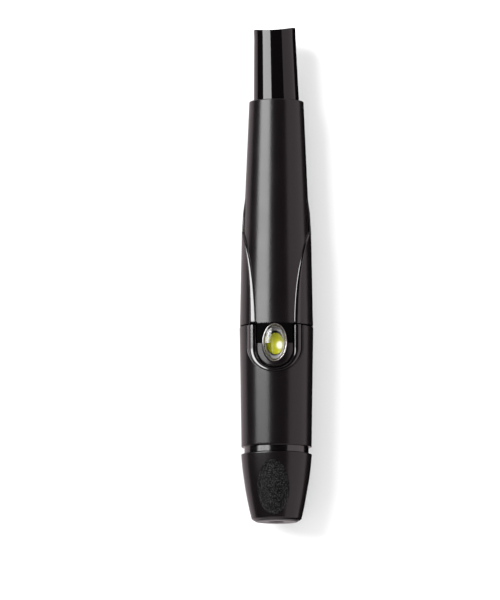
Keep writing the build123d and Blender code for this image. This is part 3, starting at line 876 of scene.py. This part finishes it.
parting_angle = 0.012
upper = np.linspace(parting_angle, math.pi - parting_angle, patch_columns)
lower = np.linspace(math.pi + parting_angle, 2 * math.pi - parting_angle, patch_columns)
top_reach = np.minimum(side_reach(upper), (tongue_top - button_centre) / np.sin(upper))
patch(rear_skin, upper, top_reach)
rear = rear_skin.piece("rear_barrel_skin", "housing", satin_black, "satin_black", "rear_barrel", crease=50)
rear.data.materials.append(polished_black)
rear.data.materials.append(seam_painted_shade)
for face in rear.data.polygons:
    x, y, z = face.center / MM
    # Faces in the gap at the seam take the painted shade
    if y < rear_start + touch:
        face.material_index = seam_shade_slot
    elif y < ridge_stations[-1]:
        inner_angle, band_angle = ridge_angles(y)
        if 0 < (abs(math.atan2(x, z)) - inner_angle) / band_angle < 1:
            face.material_index = polished_slot
surround_skin = Skin()
patch(surround_skin, lower, u_reach(lower))
surround_skin.piece("button_surround_skin", "housing", satin_black, "satin_black", "button_surround", crease=50)

# Release button: a clear dome with a bright rim
oval = np.linspace(0, 2 * math.pi, oval_columns, endpoint=False)


def oval_row(half_width, half_length, height):
    """Points of an oval over the button's centre."""
    x = half_width * np.cos(oval)
    y = button_centre + half_length * np.sin(oval)
    return np.stack((x, y, np.full_like(x, height)), axis=-1)


def dome(half_width, half_length, shoulder, crest):
    """Rows of a dome, from its shoulder to its crest."""
    rows = []
    for turn in np.linspace(0, math.pi / 2, dome_steps):
        share = math.cos(turn) ** dome_fullness
        height = shoulder + (crest - shoulder) * math.sin(turn)
        rows.append(oval_row(half_width * share, half_length * share, height))
    return rows


lens_half_width = button_width / 2 - rim_width - lens_gap
lens_half_length = button_length / 2 - rim_width - lens_gap
lens_shoulder = rim_top - lens_sink
lens_crest = rim_top + dome_height
inner_half_width = lens_half_width - dome_wall
inner_half_length = lens_half_length - dome_wall
inner_dome = dome(inner_half_width, inner_half_length, lens_shoulder - dome_wall, lens_crest - dome_wall)
dome_rows = inner_dome[::-1]
dome_rows.append(oval_row(inner_half_width, inner_half_length, frame_top))
dome_rows.append(oval_row(lens_half_width, lens_half_length, frame_top))
dome_rows += dome(lens_half_width, lens_half_length, lens_shoulder, lens_crest)
dome_skin = Skin()
dome_skin.grid(dome_rows)
lens = dome_skin.piece(
    "release_button_dome", "button", clear_plastic, "clear_plastic", "release_button", crease=60
)
lens.visible_shadow = False

rim_rows = [oval_row(button_width / 2, button_length / 2, frame_top)]
for turn in np.linspace(0, math.pi, rim_steps):
    out = rim_width / 2 * math.cos(turn)
    height = rim_top - rim_round + rim_round * math.sin(turn)
    half_width = button_width / 2 - rim_width / 2 + out
    half_length = button_length / 2 - rim_width / 2 + out
    rim_rows.append(oval_row(half_width, half_length, height))
rim_rows.append(oval_row(button_width / 2 - rim_width, button_length / 2 - rim_width, frame_top))
rim_skin = Skin()
rim_skin.grid(rim_rows, loop=True)
rim_skin.piece("button_rim_ring", "button", bright_rim, "bright_rim", "button_rim")

# Plunger: leans and narrows to a scooped, slanted top
plunger_angles = round_angles(plunger_columns)


def crown(radius, rise):
    """A row of the plunger's exposed part at a rise over the barrel's end, leaning as it rises."""
    row = on_pen(radius, plunger_angles, barrel_rear + rise)
    row[:, 0] -= plunger_lean * rise / (plunger_top - barrel_rear)
    return row


show = plunger_top - barrel_rear - plunger_slant / 2
crown_rows = []
for share in np.linspace(0, 1, side_rows):
    radius = plunger_radius + share * (plunger_top_radius - plunger_radius)
    crown_rows.append(crown(radius, share * (show - top_margin)))
for share in np.concatenate(([1.0], np.linspace(scoop_edge, 0, scoop_rows))):
    offset = share * np.sin(plunger_angles)
    top = show + plunger_slant / 2 * offset - plunger_scoop * (1 - offset**2)
    crown_rows.append(crown(plunger_top_radius * share, 0) + np.stack((0 * top, top, 0 * top), axis=-1))
crown_rows = np.array(crown_rows)
crown_rows[side_rows:, :, 0] -= plunger_lean
flange_top = mouth_shoulder - flange_gap
shaft_path = soften(
    [
        (sleeve_socket_radius, barrel_rear + sleeve_socket_depth),
        (sleeve_socket_radius, barrel_rear),
        (plunger_bore, barrel_rear),
        (plunger_bore, flange_top - flange_length),
        (flange_radius, flange_top - flange_length),
        (flange_radius, flange_top),
        (plunger_radius, flange_top),
        (plunger_radius, barrel_rear - shaft_sink),
    ],
    shaft_round,
)
plunger_skin = Skin()
plunger_skin.grid(np.concatenate((turned(shaft_path, plunger_columns), crown_rows)))
plunger_skin.piece("priming_button_skin", "plunger", gloss_black, "gloss_black", "priming_button", crease=50)


# Studio: floor, soft lamps, dark cards and a white surround
def panel(name, centre, size, material):
    """A flat card that faces upwards until it is turned."""
    mesh = bpy.data.meshes.new(name)
    half_width = size[0] / 2
    half_length = size[1] / 2
    corners = ((-1, -1), (1, -1), (1, 1), (-1, 1))
    mesh.from_pydata([(a * half_width, b * half_length, 0) for a, b in corners], [], [(0, 1, 2, 3)])
    mesh.materials.append(material)
    card = bpy.data.objects.new(name, mesh)
    card.location = centre
    bpy.context.scene.collection.objects.link(card)
    return card


pen_middle = 0.0493
floor_side = 3
floor_material, _ = surface("floor", (0.93, 0.93, 0.93), roughness=0.9)
floor = panel("floor", (0, pen_middle, cad_box[0].z), (floor_side, floor_side), floor_material)
floor.visible_glossy = False


def lamp(name, turn, distance, middle, size, power, in_reflections=True):
    """A soft lamp that faces the pen's axis.

    It stands at a turn round the axis from straight above, in degrees, and at a middle station.
    """
    turn = math.radians(turn)
    light = bpy.data.lights.new(name, "AREA")
    light.shape = "RECTANGLE"
    light.size = size[0]
    light.size_y = size[1]
    light.energy = power
    thing = bpy.data.objects.new(name, light)
    thing.location = (distance * math.sin(turn), middle, distance * math.cos(turn))
    thing.rotation_euler = (0, turn, 0)
    thing.visible_glossy = in_reflections
    bpy.context.scene.collection.objects.link(thing)


lamp("strip_left", turn=-45, distance=0.9, middle=0.43, size=(0.75, 0.64), power=14.5)
lamp("fill_right", turn=50, distance=0.9, middle=0.05, size=(1.2, 1.6), power=8, in_reflections=False)

card_material, card_shader = surface("dark_card", (0.004, 0.004, 0.004), roughness=1.0)
card_shader.inputs["Specular IOR Level"].default_value = 0


def dark_card(name, low_turn, high_turn, distance, front, rear):
    """A dark card that only reflections on the pen show.

    It stands between two turns round the pen's axis, in degrees, and two stations.
    """
    low_turn = math.radians(low_turn)
    high_turn = math.radians(high_turn)
    turn = (low_turn + high_turn) / 2
    width = 2 * distance * math.tan((high_turn - low_turn) / 2)
    centre = (distance * math.sin(turn), (front + rear) / 2, distance * math.cos(turn))
    card = panel(name, centre, (width, rear - front), card_material)
    card.rotation_euler = (0, turn, 0)
    card.visible_camera = False
    card.visible_diffuse = False
    card.visible_shadow = False


dark_card("card_above", low_turn=-24, high_turn=42, distance=1.5, front=-1.0, rear=3)
dark_card("card_strip", low_turn=-69, high_turn=-24, distance=1.0, front=-0.7, rear=2)
dark_card("card_left", low_turn=-109, high_turn=-69, distance=1.0, front=-2, rear=2)
dark_card("card_low_right", low_turn=118, high_turn=175, distance=0.6, front=-2, rear=2)

# The surround is white to the camera, dimmer as a light and a little warm in reflections
world = bpy.data.worlds.new("surround")
bpy.context.scene.world = world
world.use_nodes = True
tree = world.node_tree
tree.nodes.clear()


def background(colour, strength):
    """A plain light from all round."""
    node = tree.nodes.new("ShaderNodeBackground")
    node.inputs["Color"].default_value = (*colour, 1)
    node.inputs["Strength"].default_value = strength
    return node.outputs["Background"]


white = (1, 1, 1)
warm = (1, 0.87, 0.9)
path = tree.nodes.new("ShaderNodeLightPath")
either = tree.nodes.new("ShaderNodeMath")
either.operation = "MAXIMUM"
glossy_mix = tree.nodes.new("ShaderNodeMixShader")
mix = tree.nodes.new("ShaderNodeMixShader")
output = tree.nodes.new("ShaderNodeOutputWorld")
tree.links.new(path.outputs["Is Camera Ray"], either.inputs[0])
tree.links.new(path.outputs["Is Transmission Ray"], either.inputs[1])
tree.links.new(path.outputs["Is Glossy Ray"], glossy_mix.inputs["Fac"])
tree.links.new(background(white, strength=0.7), glossy_mix.inputs[1])
tree.links.new(background(warm, strength=0.82), glossy_mix.inputs[2])
tree.links.new(either.outputs["Value"], mix.inputs["Fac"])
tree.links.new(glossy_mix.outputs["Shader"], mix.inputs[1])
tree.links.new(background(white, strength=1.0), mix.inputs[2])
tree.links.new(mix.outputs["Shader"], output.inputs["Surface"])
bpy.context.scene.view_settings.view_transform = "Standard"

# Camera: above the pen, a little towards its tip and its right side
camera_distance = 2.0
camera_tilt = math.radians(6.5)
camera_roll = math.radians(3)
view_centre = (-0.0053, 0.0446, 0)
view_height = 0.12
sensor_height = 36
camera_data = bpy.data.cameras.new("camera")
camera_data.sensor_fit = "VERTICAL"
camera_data.sensor_height = sensor_height
camera_data.lens = sensor_height * camera_distance / view_height
camera = bpy.data.objects.new("camera", camera_data)
toward = Vector(
    (
        math.sin(camera_roll) * math.cos(camera_tilt),
        -math.sin(camera_tilt),
        math.cos(camera_roll) * math.cos(camera_tilt),
    )
)
upward = Vector((0, 1, 0))
rightward = upward.cross(toward).normalized()
upward = toward.cross(rightward)
camera.rotation_euler = Matrix((rightward, upward, toward)).transposed().to_euler()
camera.location = Vector(view_centre) + camera_distance * toward
bpy.context.scene.collection.objects.link(camera)
bpy.context.scene.camera = camera
